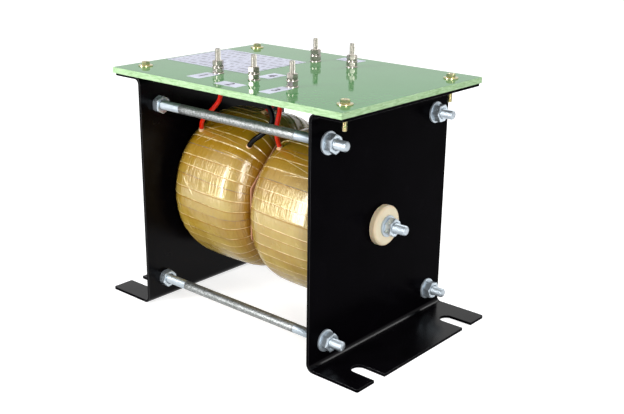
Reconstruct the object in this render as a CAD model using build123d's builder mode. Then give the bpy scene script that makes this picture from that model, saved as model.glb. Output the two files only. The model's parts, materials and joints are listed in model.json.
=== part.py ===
"""Bushing current transformer: two taped toroidal coils on one through bolt between two folded end plates,
under an insulating terminal board.

Millimetres, +Z up. The origin is on the floor, midway between the end plates (X) and between their edges (Y).
The coils turn about the X axis line through (0, 0, coil_height). Each piece is written to its own STEP file.
"""
from build123d import *
from math import cos, pi, radians, sin, tan
import os

# ---- end plates and frame ----
plate_span = 233.0  # outer face to outer face of the two end plates
plate_depth = 216.0
plate_sheet = 3.0
bend_inside = 5.0  # inside radius of both folds
support_height = 250.0  # floor to the underside of the terminal board
foot_reach = 59.0  # plate's outer face to the foot's edge
ledge_reach = 35.0  # plate's outer face to the edge of the ledge under the board
foot_corner = 2.0
foot_slot_inset = 33.0  # plate's front or rear edge to the slot's middle
foot_slot_width = 16.0
foot_slot_depth = 32.0  # from the foot's edge to the bottom of the slot

# ---- terminal board ----
board_overhang_x = 1.0  # beyond the edges of the ledges
board_overhang_y = 3.0  # beyond the front and rear edges of the plates
board_thickness = 6.0
board_bolt_reach = 17.0  # plate's outer face to the bolt
board_bolt_inset = 25.0  # plate's front or rear edge to the bolt
board_bolt_radius = 2.5
board_bolt_length = 25.0
board_bolt_head_flats = 8.0
board_bolt_head_height = 3.5
board_bolt_chamfer = 0.5
board_washer_radius = 7.5
board_washer_thickness = 1.2

# ---- tie rods ----
rod_radius = 5.0
rod_thread_length = 60.0
rod_thread_depth = 0.1  # the rolled thread's crest lies this much below the plain shank
rod_tail = 12.0  # thread left beyond the outer nut
rod_inset = 23.5  # plate's front or rear edge to the rod's axis
rod_low_height = 25.0
rod_drop = 31.0  # underside of the board to the upper rods' axis
nut_flats = 16.5
nut_height = 8.0
nut_turn = 12.0  # degrees; each rod's nuts came to rest at a turn of their own
nut_turn_step = 17.0
washer_radius = 11.0
washer_thickness = 2.0
end_chamfer = 1.2

# ---- centre bolt, bushes and sleeve ----
coil_height = 120.0  # floor to the coils' axis
centre_bolt_radius = 5.0
centre_bolt_tail = 13.0
centre_nut_turn = 25.0
bush_radius = 20.5
bush_thickness = 7.0
bush_rounding = 2.5
bush_spigot_radius = 12.0
sleeve_radius = 16.0
pad_radius = 62.0
pad_thickness = 2.5
separator_flats = 129.5  # eight-sided sheet, across its flats
separator_turn = 23.0  # degrees
separator_thickness = 1.5

# ---- coils ----
coil_radius = 84.2  # to the crown of the taped barrel
coil_crown = 2.5  # rise of the barrel's crown over its shoulders
coil_shoulder = 28.0  # rounding where the barrel turns into the flat side
coil_rise = {"left": 4.0, "right": 0.0}  # each coil's axis above the bolt's, as it is packed
coil_bore_radius = 26.0
coil_bore_rounding = 8.0
tape_turns = 46
tape_step = 0.35  # each turn of tape stands this much over the one it laps
tape_slant = 3.0  # degrees off the coil's axis
tape_build = 3.0  # thickness of the taped skin
core_inner_radius = 42.0
core_outer_radius = 70.0
core_width = 74.0
core_edge = 1.0

# ---- terminals ----
terminal_pitch = 50.0
terminal_front_y = -59.0  # row of three
terminal_rear_y = 61.5  # row of two
stud_radius = 2.95
stud_root_radius = 2.65  # where nuts and washers hold the thread
stud_free_length = 12.0
stud_foot_length = 3.0
stud_chamfer = 0.6
terminal_nut_flats = 10.0
terminal_nut_height = 4.6
terminal_nut_turn_step = 10.0
terminal_washer_radius = 6.0
terminal_washer_thickness = 1.2
spring_washer_radius = 5.2
spring_washer_thickness = 1.4
spring_washer_gap = 1.0
spring_washer_gap_turn = 20.0
lug_ring_radius = 6.0
lug_thickness = 1.0
lug_offset = 12.0  # stud axis to barrel axis
lug_barrel_length = 12.0
lug_barrel_wall = 0.8

# ---- leads ----
red_lead_radius = 2.3
black_lead_radius = 2.7
lead_grip = 7.0  # length of lead held in the lug's barrel
lead_bury = 1.5  # length of lead under the tape
lead_rise = 8.0  # straight length out of the tape
lead_drop = 4.0  # straight length below the lug's barrel
lead_arc_share = 0.45  # share of the shorter run that each bend takes

# ---- clearances ----
slip = 0.05  # threads and nuts
gap = 0.15  # pieces that lie beside each other
bolt_play = 0.5  # bolts through plain holes
touch = 0.01  # two places closer than this are one

# ---- derived places ----
face_x = plate_span / 2
inner_x = face_x - plate_sheet
foot_edge_x = face_x + foot_reach
ledge_edge_x = face_x + ledge_reach
foot_slot_end_x = foot_edge_x - foot_slot_depth + foot_slot_width / 2
foot_slot_pitch = plate_depth - 2 * foot_slot_inset
board_length = 2 * (ledge_edge_x + board_overhang_x)
board_depth = plate_depth + 2 * board_overhang_y
board_bolt_pitch_x = 2 * (face_x + board_bolt_reach)
board_bolt_pitch_y = plate_depth - 2 * board_bolt_inset
board_top = support_height + board_thickness
coil_width = inner_x - separator_thickness / 2 - pad_thickness - 2 * gap
coil_centre_x = separator_thickness / 2 + gap + coil_width / 2
rod_length = 2 * (face_x + washer_thickness + nut_height + rod_tail)
rod_heights = {"lower": rod_low_height, "upper": support_height - rod_drop}
rod_pitch_y = plate_depth - 2 * rod_inset
rod_sides = {"front": -rod_pitch_y / 2, "rear": rod_pitch_y / 2}
rod_places = [(y, z) for y in rod_sides.values() for z in rod_heights.values()]
centre_length = 2 * (face_x + bush_thickness + washer_thickness + nut_height + centre_bolt_tail)
terminals = [(-terminal_pitch, terminal_front_y), (0, terminal_front_y), (terminal_pitch, terminal_front_y)]
terminals += [(-terminal_pitch / 2, terminal_rear_y), (terminal_pitch / 2, terminal_rear_y)]
sides = {"left": -1, "right": 1}

os.makedirs("parts", exist_ok=True)


def save(piece, name):
    """Labels a finished piece and writes it to its own file."""
    piece.part.label = name
    export_step(piece.part, f"parts/{name}.step")


def across(x, y=0.0, z=0.0):
    """A plane square to the X axis at x, with its own X along Y and its own Y along Z."""
    return Plane(origin=(x, y, z), x_dir=(0, 1, 0), z_dir=(1, 0, 0))


def ring(plane, outer, inner, thickness):
    """A flat washer, pad or plain ring, standing on a plane."""
    with BuildPart() as piece:
        with BuildSketch(plane):
            Circle(outer)
            Circle(inner, mode=Mode.SUBTRACT)
        extrude(amount=thickness)
    return piece.part


def hex_nut(plane, flats, bore, height, turn=0.0):
    """A plain hexagon nut standing on a plane."""
    with BuildPart() as piece:
        with BuildSketch(plane):
            RegularPolygon(flats / 2, 6, major_radius=False, rotation=turn)
            Circle(bore, mode=Mode.SUBTRACT)
        extrude(amount=height)
    return piece.part


def washers(places, height, outer, inner, thickness):
    """One flat washer at each (x, y) place, standing at one height."""
    return [ring(Plane((x, y, height)), outer, inner, thickness) for x, y in places]


def gather(solids):
    """Separate solids of one kind, held in one node."""
    with BuildPart() as group:
        add(solids)
    return group


# ---- end plates: one folded sheet each, foot and ledge turned outwards ----
def end_plate(side):
    with BuildPart() as plate:
        with BuildSketch(Plane.XZ.offset(-plate_depth / 2)):
            with BuildLine():
                Polyline(
                    (side * foot_edge_x, 0),
                    (side * inner_x, 0),
                    (side * inner_x, support_height),
                    (side * ledge_edge_x, support_height),
                    (side * ledge_edge_x, support_height - plate_sheet),
                    (side * face_x, support_height - plate_sheet),
                    (side * face_x, plate_sheet),
                    (side * foot_edge_x, plate_sheet),
                    close=True,
                )
            make_face()
        extrude(amount=plate_depth)
        for fold_x, radius in ((face_x, bend_inside), (inner_x, bend_inside + plate_sheet)):
            long_edges = plate.edges().filter_by(Axis.Y)
            fillet([edge for edge in long_edges if abs(abs(edge.center().X) - fold_x) < touch], radius)
        foot_edges = [edge for edge in plate.edges().filter_by(Axis.Z) if edge.center().Z < plate_sheet]
        fillet([edge for edge in foot_edges if abs(abs(edge.center().X) - foot_edge_x) < touch], foot_corner)
        with BuildSketch(Plane.XY):
            slot_run = foot_slot_depth - foot_slot_width / 2
            with Locations((side * foot_slot_end_x, 0)):
                with GridLocations(0, foot_slot_pitch, 1, 2):
                    Circle(foot_slot_width / 2)
            with Locations((side * (foot_slot_end_x + slot_run / 2), 0)):
                with GridLocations(0, foot_slot_pitch, 1, 2):
                    Rectangle(slot_run, foot_slot_width)
        extrude(amount=plate_sheet, mode=Mode.SUBTRACT)
        with BuildSketch(across(side * (inner_x + plate_sheet / 2))):
            with Locations(*rod_places):
                Circle(rod_radius + bolt_play)
            with Locations((0, coil_height)):
                Circle(bush_spigot_radius + gap)
        extrude(amount=plate_sheet, both=True, mode=Mode.SUBTRACT)
        with BuildSketch(Plane.XY.offset(support_height)):
            with Locations((side * board_bolt_pitch_x / 2, 0)):
                with GridLocations(0, board_bolt_pitch_y, 1, 2):
                    Circle(board_bolt_radius + slip)
        extrude(amount=-plate_sheet, mode=Mode.SUBTRACT)
    return plate


for name, side in sides.items():
    save(end_plate(side), f"{name}_end_plate")

# ---- terminal board ----
with BuildPart() as terminal_board:
    with BuildSketch(Plane.XY.offset(support_height)):
        Rectangle(board_length, board_depth)
        with GridLocations(board_bolt_pitch_x, board_bolt_pitch_y, 2, 2):
            Circle(board_bolt_radius + bolt_play / 2, mode=Mode.SUBTRACT)
        with Locations(*terminals):
            Circle(stud_radius + bolt_play / 2, mode=Mode.SUBTRACT)
    extrude(amount=board_thickness)
save(terminal_board, "terminal_board")

# ---- board bolts, tapped into the ledges ----
board_bolt_grid = [place.position for place in GridLocations(board_bolt_pitch_x, board_bolt_pitch_y, 2, 2)]
board_bolt_places = [(point.X, point.Y) for point in board_bolt_grid]
head_seat = board_top + board_washer_thickness
with BuildPart() as board_bolts:
    with BuildSketch(Plane.XY.offset(head_seat)):
        with Locations(*board_bolt_places):
            RegularPolygon(board_bolt_head_flats / 2, 6, major_radius=False)
    extrude(amount=board_bolt_head_height)
    with BuildSketch(Plane.XY.offset(head_seat)):
        with Locations(*board_bolt_places):
            Circle(board_bolt_radius)
    extrude(amount=-board_bolt_length)
    chamfer(board_bolts.edges().group_by(Axis.Z)[0], board_bolt_chamfer)
save(board_bolts, "board_bolts")

board_washer_size = (board_washer_radius, board_bolt_radius + bolt_play / 2, board_washer_thickness)
save(gather(washers(board_bolt_places, board_top, *board_washer_size)), "board_washers")


# ---- tie rods: plain shank, rolled threads at both ends ----
def tie_rod(y, z):
    with BuildPart() as rod:
        with BuildSketch(across(-rod_length / 2, y, z)):
            Circle(rod_radius - rod_thread_depth)
        extrude(amount=rod_length)
        chamfer(rod.edges(), end_chamfer)
        with BuildSketch(across(-rod_length / 2 + rod_thread_length, y, z)):
            Circle(rod_radius)
        extrude(amount=rod_length - 2 * rod_thread_length)
    return rod


for front, y in rod_sides.items():
    for level, z in rod_heights.items():
        save(tie_rod(y, z), f"tie_rod_{front}_{level}")

rod_washers = []
rod_outer_nuts = []
rod_inner_nuts = []
for index, (y, z) in enumerate(rod_places):
    for side in sides.values():
        turn = nut_turn + nut_turn_step * index
        seat = Plane(origin=(side * face_x, y, z), x_dir=(0, 1, 0), z_dir=(side, 0, 0))
        inner_seat = Plane(origin=(side * inner_x, y, z), x_dir=(0, 1, 0), z_dir=(-side, 0, 0))
        thread = rod_radius - rod_thread_depth + slip
        rod_washers.append(ring(seat, washer_radius, rod_radius + bolt_play / 2, washer_thickness))
        rod_outer_nuts.append(hex_nut(seat.offset(washer_thickness), nut_flats, thread, nut_height, turn))
        rod_inner_nuts.append(hex_nut(inner_seat, nut_flats, thread, nut_height, turn))
save(gather(rod_washers), "tie_rod_washers")
save(gather(rod_outer_nuts), "tie_rod_outer_nuts")
save(gather(rod_inner_nuts), "tie_rod_inner_nuts")

# ---- centre bolt with its nuts, washers, insulating bushes and sleeve ----
with BuildPart() as centre_bolt:
    with BuildSketch(across(-centre_length / 2, 0, coil_height)):
        Circle(centre_bolt_radius)
    extrude(amount=centre_length)
    chamfer(centre_bolt.edges(), end_chamfer)
save(centre_bolt, "centre_bolt")

centre_washers = []
centre_nuts = []
for name, side in sides.items():
    face = Plane(origin=(side * face_x, 0, coil_height), x_dir=(0, 1, 0), z_dir=(side, 0, 0))
    with BuildPart() as bush:
        with BuildSketch(face):
            Circle(bush_radius)
        extrude(amount=bush_thickness)
        fillet(bush.edges().sort_by(Axis.X)[-1 if side > 0 else 0], bush_rounding)
        with BuildSketch(face):
            Circle(bush_spigot_radius)
        extrude(amount=-plate_sheet)
        with BuildSketch(face.offset(-plate_sheet)):
            Circle(centre_bolt_radius + gap)
        extrude(amount=plate_sheet + bush_thickness, mode=Mode.SUBTRACT)
    save(bush, f"{name}_bush")
    seat = face.offset(bush_thickness)
    centre_washers.append(ring(seat, washer_radius, centre_bolt_radius + bolt_play / 2, washer_thickness))
    nut_seat = seat.offset(washer_thickness)
    centre_nuts.append(hex_nut(nut_seat, nut_flats, centre_bolt_radius + slip, nut_height, centre_nut_turn))
save(gather(centre_washers), "centre_washers")
save(gather(centre_nuts), "centre_nuts")

sleeve_length = 2 * (inner_x - gap)
sleeve_seat = across(-sleeve_length / 2, 0, coil_height)
save(gather(ring(sleeve_seat, sleeve_radius, centre_bolt_radius + gap, sleeve_length)), "centre_sleeve")

# ---- insulating pads outside the coils, eight-sided separator between them ----
for name, side in sides.items():
    seat = Plane(origin=(side * inner_x, 0, coil_height), x_dir=(0, 1, 0), z_dir=(-side, 0, 0))
    save(gather(ring(seat, pad_radius, sleeve_radius + gap, pad_thickness)), f"{name}_insulating_pad")
with BuildPart() as separator:
    with BuildSketch(across(-separator_thickness / 2, 0, coil_height)):
        RegularPolygon(separator_flats / 2, 8, major_radius=False, rotation=separator_turn)
        Circle(sleeve_radius + gap, mode=Mode.SUBTRACT)
    extrude(amount=separator_thickness)
save(separator, "coil_separator")


# ---- coils ----
def radial_plane(angle, slant=0.0):
    """The plane through the coil's axis at this angle, with its X along the axis and its Y outwards.

    The slant turns it about its own Y, so that a turn of tape crosses the barrel a little askew.
    """
    outward = Vector(0, cos(angle), sin(angle))
    around = Vector(0, -sin(angle), cos(angle))
    along = Vector(1, 0, 0) * cos(slant) + around * sin(slant)
    return Plane(origin=(0, 0, coil_height), x_dir=along, z_dir=along.cross(outward))


def coil_section(plane, inset):
    """The coil's closed section: crowned barrel, rounded shoulders, flat sides and rounded bore."""
    half = coil_width / 2 - tape_step - inset
    top = coil_radius - tape_step - inset
    low = coil_bore_radius + inset
    with BuildSketch(plane) as section:
        with BuildLine():
            ThreePointArc((-half, top - coil_crown), (0, top), (half, top - coil_crown))
            Polyline((half, top - coil_crown), (half, low), (-half, low), (-half, top - coil_crown))
        make_face()
        corners = section.vertices().group_by(Axis.Y)
        fillet(corners[-1], coil_shoulder - inset)
        corners = section.vertices().group_by(Axis.Y)
        fillet(corners[0], coil_bore_rounding - inset)
    return section.sketch


coil_axis = Axis((0, 0, coil_height), (1, 0, 0))

# one lap of tape: its leading edge stands over the lap before it
lap_angle = 2 * pi / tape_turns
lap_start = coil_section(radial_plane(0, radians(tape_slant)), 0)
lap_end = coil_section(radial_plane(lap_angle, radians(tape_slant)), -tape_step)
tape_lap = loft([lap_start.face(), lap_end.face()], ruled=True)
with BuildPart() as taped_skin:
    add([tape_lap.rotate(coil_axis, 360 * turn / tape_turns) for turn in range(tape_turns)])
    add(coil_section(radial_plane(pi / 2), tape_build))
    revolve(axis=coil_axis, mode=Mode.SUBTRACT)

with BuildPart() as winding:
    add(coil_section(radial_plane(pi / 2), tape_build + gap))
    revolve(axis=coil_axis)
    with BuildSketch(radial_plane(pi / 2)):
        with Locations((0, (core_inner_radius + core_outer_radius) / 2)):
            Rectangle(core_width + 2 * gap, core_outer_radius - core_inner_radius + 2 * gap)
    revolve(axis=coil_axis, mode=Mode.SUBTRACT)

with BuildPart() as core:
    add(ring(across(-core_width / 2, 0, coil_height), core_outer_radius, core_inner_radius, core_width))
    chamfer(core.edges(), core_edge)

hub_radius = (coil_bore_radius - tape_step) * cos(lap_angle / 2) - gap


def packing_hub(rise):
    """The packing in a coil's bore: its outside is on the coil's axis, and its hole on the bolt's."""
    with BuildPart() as hub:
        with BuildSketch(across(-coil_width / 2, 0, coil_height)):
            Circle(hub_radius)
            with Locations((0, -rise)):
                Circle(sleeve_radius + slip, mode=Mode.SUBTRACT)
        extrude(amount=coil_width)
    return hub


# ---- leads ----
# for each terminal: its coil, its lead's radius, the place and way in which the lead leaves the tape,
# the lead's route between its straight ends, and the turn of its lug
lead_plan = [
    {
        "coil": "left",
        "radius": red_lead_radius,
        "leaves": (-86.2, -49.9, 190.6),
        "way": (0.35, -0.5, 0.8),
        "route": [(-72, -59, 208), (-54, -62.5, 220)],
        "turn": -31,
    },
    {
        "coil": "left",
        "radius": black_lead_radius,
        "leaves": (-15.2, -51.0, 185.4),
        "way": (0.6, -0.25, 0.75),
        "route": [(6.5, -50, 203), (12, -45, 214), (12.5, -46.5, 223)],
        "turn": 45,
    },
    {
        "coil": "right",
        "radius": red_lead_radius,
        "leaves": (20.5, -43.9, 188.9),
        "way": (0.05, -0.45, 0.9),
        "route": [(28, -57.5, 206), (32, -61, 217)],
        "turn": 199,
    },
    {
        "coil": "left",
        "radius": red_lead_radius,
        "leaves": (-38, -4, 207.8),
        "way": (0.3, 0.6, 0.75),
        "route": [(-32, 14, 219), (-27.5, 34, 221)],
        "turn": 270,
    },
    {
        "coil": "right",
        "radius": black_lead_radius,
        "leaves": (30, 20, 201.2),
        "way": (-0.15, 0.35, 0.9),
        "route": [(27, 31, 218), (25, 42, 225.5)],
        "turn": 270,
    },
]
lug_underside = support_height - lug_thickness
barrel_mouth = lug_underside - lug_barrel_length


def lead_points(stud, plan):
    """The route of a lead from under the tape to the floor of its lug's barrel."""
    start = Vector(*plan["leaves"])
    out = Vector(*plan["way"]).normalized()
    reach = Vector(cos(radians(plan["turn"])), sin(radians(plan["turn"]))) * lug_offset
    mouth = Vector(stud[0], stud[1], barrel_mouth) + reach
    exit_points = [start - out * lead_bury, start + out * lead_rise]
    lug_points = [mouth - Vector(0, 0, lead_drop), mouth + Vector(0, 0, lead_grip)]
    return exit_points + [Vector(*point) for point in plan["route"]] + lug_points


def lead(points, radius):
    """Straight runs joined by arcs as large as the runs allow."""
    bends = []
    for before, corner, after in zip(points, points[1:], points[2:]):
        shorter = min((corner - before).length, (after - corner).length)
        bends.append(lead_arc_share * shorter / tan(radians((corner - before).get_angle(after - corner)) / 2))
    with BuildPart() as piece:
        with BuildLine() as path:
            FilletPolyline(*points, radius=bends)
        with BuildSketch(Plane(origin=points[0], z_dir=points[1] - points[0])):
            Circle(radius)
        sweep(path=path.wires()[0])
    length = path.wires()[0].length
    share = piece.part.volume / (pi * radius**2 * length)
    print(f"lead length {length:.1f}, volume share {share:.4f}, bends", [round(bend, 1) for bend in bends])
    return piece


pockets = {"left": [], "right": []}
for number, (stud, plan) in enumerate(zip(terminals, lead_plan), start=1):
    points = lead_points(stud, plan)
    save(lead(points, plan["radius"]), f"lead_{number}")
    with BuildPart() as pocket:
        with BuildSketch(Plane(origin=points[0], z_dir=points[1] - points[0])):
            Circle(plan["radius"] + gap)
        extrude(amount=lead_bury + lead_rise)
    pockets[plan["coil"]].append(pocket.part)

# ---- the two coils, each with a blind pocket in its skin for every lead ----
for name, side in sides.items():
    place = Location((side * coil_centre_x, 0, coil_rise[name]))
    with BuildPart() as tape:
        add(taped_skin.part.moved(place))
        add(pockets[name], mode=Mode.SUBTRACT)
    save(tape, f"{name}_coil_tape")
    for piece, kind in ((winding, "winding"), (core, "core"), (packing_hub(coil_rise[name]), "hub")):
        save(gather(piece.part.moved(place)), f"{name}_coil_{kind}")

# ---- terminals: stud, washer, nut, clamping washer, spring washer and nut above; lug and nut below ----
base_nut_seat = board_top + terminal_washer_thickness
clamp_washer_seat = base_nut_seat + terminal_nut_height
spring_washer_seat = clamp_washer_seat + terminal_washer_thickness
top_nut_seat = spring_washer_seat + spring_washer_thickness
free_end_seat = top_nut_seat + terminal_nut_height
under_nut_seat = lug_underside - terminal_nut_height
stud_foot = under_nut_seat - stud_foot_length

with BuildPart() as terminal_studs:
    with BuildSketch(Plane.XY.offset(stud_foot)):
        with Locations(*terminals):
            Circle(stud_root_radius)
    extrude(amount=free_end_seat - stud_foot)
    chamfer(terminal_studs.edges().group_by(Axis.Z)[0], stud_chamfer)
    with BuildSketch(Plane.XY.offset(free_end_seat)):
        with Locations(*terminals):
            Circle(stud_radius)
    extrude(amount=stud_free_length)
    chamfer(terminal_studs.edges().group_by(Axis.Z)[-1], stud_chamfer)
save(terminal_studs, "terminal_studs")


def terminal_nuts(height):
    bore = stud_root_radius + slip
    nuts = []
    for index, (x, y) in enumerate(terminals):
        turn = terminal_nut_turn_step * index
        nuts.append(hex_nut(Plane((x, y, height)), terminal_nut_flats, bore, terminal_nut_height, turn))
    return nuts


washer_bore = stud_radius + bolt_play / 2
flat_washer_size = (terminal_washer_radius, washer_bore, terminal_washer_thickness)
save(gather(washers(terminals, board_top, *flat_washer_size)), "terminal_board_washers")
save(gather(washers(terminals, clamp_washer_seat, *flat_washer_size)), "terminal_clamp_washers")
save(gather(terminal_nuts(base_nut_seat)), "terminal_base_nuts")
with BuildPart() as spring_washers:
    add(washers(terminals, spring_washer_seat, spring_washer_radius, washer_bore, spring_washer_thickness))
    with BuildSketch(Plane.XY.offset(spring_washer_seat)):
        with Locations(*[(x + spring_washer_radius, y) for x, y in terminals]):
            Rectangle(2 * spring_washer_radius, spring_washer_gap, rotation=spring_washer_gap_turn)
    extrude(amount=spring_washer_thickness, mode=Mode.SUBTRACT)
save(spring_washers, "terminal_spring_washers")
save(gather(terminal_nuts(top_nut_seat)), "terminal_top_nuts")
save(gather(terminal_nuts(under_nut_seat)), "terminal_under_nuts")


# ---- cable lugs: a ring under the board, a tab and a barrel turned down over the lead ----
def cable_lug(stud, radius, turn):
    barrel_radius = radius + slip + lug_barrel_wall
    tab_way = (cos(radians(turn)), sin(radians(turn)), 0)
    top = Plane(origin=(*stud, support_height), x_dir=tab_way, z_dir=(0, 0, 1))
    with BuildPart() as lug:
        with BuildSketch(top):
            Circle(lug_ring_radius)
            with Locations((lug_offset / 2, 0)):
                Rectangle(lug_offset, 2 * barrel_radius)
            with Locations((lug_offset, 0)):
                Circle(barrel_radius)
            Circle(stud_radius + bolt_play / 2, mode=Mode.SUBTRACT)
        extrude(amount=-lug_thickness)
        with BuildSketch(top.offset(-lug_thickness)):
            with Locations((lug_offset, 0)):
                Circle(barrel_radius)
        extrude(amount=-lug_barrel_length)
        with BuildSketch(top.offset(-lug_thickness - lug_barrel_length)):
            with Locations((lug_offset, 0)):
                Circle(radius + slip)
        extrude(amount=lead_grip, mode=Mode.SUBTRACT)
    return lug.part


lugs = [cable_lug(stud, plan["radius"], plan["turn"]) for stud, plan in zip(terminals, lead_plan)]
save(gather(lugs), "cable_lugs")
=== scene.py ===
"""Looks of the bushing current transformer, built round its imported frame.

Metres, +Z up: X runs along the coils and the through bolt, Y from the row of three terminals to the row of two.
Every place comes from the frame's boxes or from the named sizes below.
"""
from collections import namedtuple
from itertools import accumulate
from math import atan, atan2, cos, dist, exp, hypot, pi, radians, sin, tan
import json
import random

import bmesh
import bpy
from mathutils import Matrix, Vector, noise

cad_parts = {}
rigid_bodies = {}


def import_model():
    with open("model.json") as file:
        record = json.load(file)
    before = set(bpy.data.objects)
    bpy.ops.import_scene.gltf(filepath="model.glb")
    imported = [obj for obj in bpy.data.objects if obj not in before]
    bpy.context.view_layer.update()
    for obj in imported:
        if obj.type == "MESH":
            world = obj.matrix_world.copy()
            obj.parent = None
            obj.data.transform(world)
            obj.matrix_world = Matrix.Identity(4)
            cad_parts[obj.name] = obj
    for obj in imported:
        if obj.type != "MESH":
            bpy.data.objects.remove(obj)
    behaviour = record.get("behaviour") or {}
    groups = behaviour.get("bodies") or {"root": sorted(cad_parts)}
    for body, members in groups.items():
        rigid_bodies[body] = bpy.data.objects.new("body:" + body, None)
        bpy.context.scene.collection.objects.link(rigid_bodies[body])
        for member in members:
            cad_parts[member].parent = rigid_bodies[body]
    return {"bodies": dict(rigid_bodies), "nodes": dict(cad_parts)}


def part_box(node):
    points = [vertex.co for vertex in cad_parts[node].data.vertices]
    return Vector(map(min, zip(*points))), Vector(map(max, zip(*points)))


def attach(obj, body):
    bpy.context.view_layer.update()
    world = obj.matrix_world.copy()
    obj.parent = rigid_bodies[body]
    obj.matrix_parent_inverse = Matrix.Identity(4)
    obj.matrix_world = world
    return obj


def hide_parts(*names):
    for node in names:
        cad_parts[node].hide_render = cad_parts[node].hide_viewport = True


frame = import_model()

scene = bpy.context.scene
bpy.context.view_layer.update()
body = next(iter(frame["bodies"]))
mm = 0.001
tau = 2 * pi

# ---- sizes read from the frame ----
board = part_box("terminal_board")
board_top = board[1].z
tape_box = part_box("left_coil_tape")
coil_width = tape_box[1].x - tape_box[0].x
coil_radius = (tape_box[1].y - tape_box[0].y) / 2
coil_centres = {name: sum(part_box(f"{name}_coil_winding"), Vector()) / 2 for name in ("left", "right")}
coil_height = sum(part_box("centre_bolt"), Vector()).z / 2


def added(name, data):
    """A new object, put in the scene."""
    made = bpy.data.objects.new(name, data)
    scene.collection.objects.link(made)
    return made


# ---- camera and its place ----
camera_azimuth = radians(40.78)
camera_elevation = radians(18.57)
camera_roll = radians(0.69)
camera_distance = 1.01203
camera_lens = 55.04
aim_height = 0.120
aim_right = 0.01928
aim_up = -0.00809


def make_camera():
    ca, sa = cos(camera_azimuth), sin(camera_azimuth)
    ce, se = cos(camera_elevation), sin(camera_elevation)
    back = Vector((sa * ce, -ca * ce, se))
    right = Vector((ca, sa, 0))
    up = back.cross(right)
    place = back * camera_distance + right * aim_right + up * aim_up + Vector((0, 0, aim_height))
    tilted_right = cos(camera_roll) * right + sin(camera_roll) * up
    tilted_up = back.cross(tilted_right)
    turn = Matrix((tilted_right, tilted_up, back)).transposed()
    camera = added("camera", bpy.data.cameras.new("camera"))
    camera.data.lens = camera_lens
    camera.data.clip_start = 0.01
    camera.matrix_world = Matrix.Translation(place) @ turn.to_4x4()
    scene.camera = camera


# ---- node graphs ----
class Graph:
    """A node tree that is written as nested calls. Inputs are constants or other nodes' sockets."""

    def __init__(self, tree):
        self.tree = tree

    def node(self, kind, inputs=None, output=0, **settings):
        made = self.tree.nodes.new(kind)
        for key, value in settings.items():
            setattr(made, key, value)
        for key, value in (inputs or {}).items():
            self.feed(made.inputs[key], value)
        return made.outputs[output]

    def feed(self, socket, value):
        if isinstance(value, bpy.types.NodeSocket):
            self.tree.links.new(value, socket)
        elif isinstance(value, tuple) and len(value) == 3 and len(socket.default_value) == 4:
            socket.default_value = (*value, 1)
        else:
            socket.default_value = value

    def place(self):
        """Where the surface is, in the object's own metres."""
        return self.node("ShaderNodeTexCoord", output="Object")

    def normal(self):
        return self.node("ShaderNodeNewGeometry", output="Normal")

    def scaled(self, vector, sizes):
        return self.node("ShaderNodeMapping", {"Vector": vector, "Scale": sizes})

    def noise(self, vector, scale, detail=3.0, roughness=0.5, distortion=0.0, output=0):
        inputs = {"Vector": vector, "Scale": scale, "Detail": detail, "Roughness": roughness, "Distortion": distortion}
        return self.node("ShaderNodeTexNoise", inputs, output)

    def math(self, operation, a, b=0.0):
        return self.node("ShaderNodeMath", {0: a, 1: b}, operation=operation)

    def times(self, a, b):
        return self.math("MULTIPLY", a, b)

    def vector(self, operation, a, b=(0.0, 0.0, 0.0)):
        """Vector arithmetic. A length or a dot product comes out as one number."""
        output = "Value" if operation in ("LENGTH", "DOT_PRODUCT") else "Vector"
        return self.node("ShaderNodeVectorMath", {0: a, 1: b}, output, operation=operation)

    def split(self, vector, axis):
        return self.node("ShaderNodeSeparateXYZ", {"Vector": vector}, axis)

    def joined(self, x=0.0, y=0.0, z=0.0):
        return self.node("ShaderNodeCombineXYZ", {"X": x, "Y": y, "Z": z})

    def span(self, value, low, high, to_low=0.0, to_high=1.0, kind="LINEAR"):
        """Value from low..high carried to to_low..to_high, and held at the ends."""
        inputs = {"Value": value, "From Min": low, "From Max": high, "To Min": to_low, "To Max": to_high}
        return self.node("ShaderNodeMapRange", inputs, interpolation_type=kind)

    def mix(self, share, first, second):
        return self.node("ShaderNodeMix", {0: share, 6: first, 7: second}, 2, data_type="RGBA")

    def ramp(self, share, *stops):
        ramped = self.node("ShaderNodeValToRGB", {0: share})
        elements = ramped.node.color_ramp.elements
        while len(elements) < len(stops):
            elements.new(1.0)
        for element, (position, colour) in zip(elements, stops):
            element.position, element.color = position, (*colour, 1)
        return ramped

    def bump(self, height, distance, strength, **under):
        return self.node("ShaderNodeBump", {"Height": height, "Distance": distance, "Strength": strength, **under})

    def bolt_radius(self, place):
        """How far the surface lies from the through bolt's axis."""
        above = self.math("SUBTRACT", self.split(place, "Z"), coil_height)
        return self.vector("LENGTH", self.joined(y=self.split(place, "Y"), z=above))

    def seen(self):
        """1 for rays from the camera, and for those that reach it by a mirror or through glass."""
        path = self.tree.nodes.new("ShaderNodeLightPath")
        seen = self.math("MAXIMUM", path.outputs["Is Camera Ray"], path.outputs["Is Glossy Ray"])
        return self.math("MAXIMUM", seen, path.outputs["Is Transmission Ray"])


class Finish(Graph):
    """A material with one Principled shader, whose inputs are set by name."""

    short = {"specular": "Specular IOR Level", "coat": "Coat Weight", "subsurface": "Subsurface Weight"}

    def __init__(self, name):
        self.material = bpy.data.materials.new(name)
        self.material.use_nodes = True
        super().__init__(self.material.node_tree)

    def shade(self, base_color, roughness, **values):
        shader = self.tree.nodes["Principled BSDF"]
        values |= {"base_color": base_color, "roughness": roughness}
        for key, value in values.items():
            self.feed(shader.inputs[self.short.get(key, key.replace("_", " ").title())], value)
        return self.material


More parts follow.
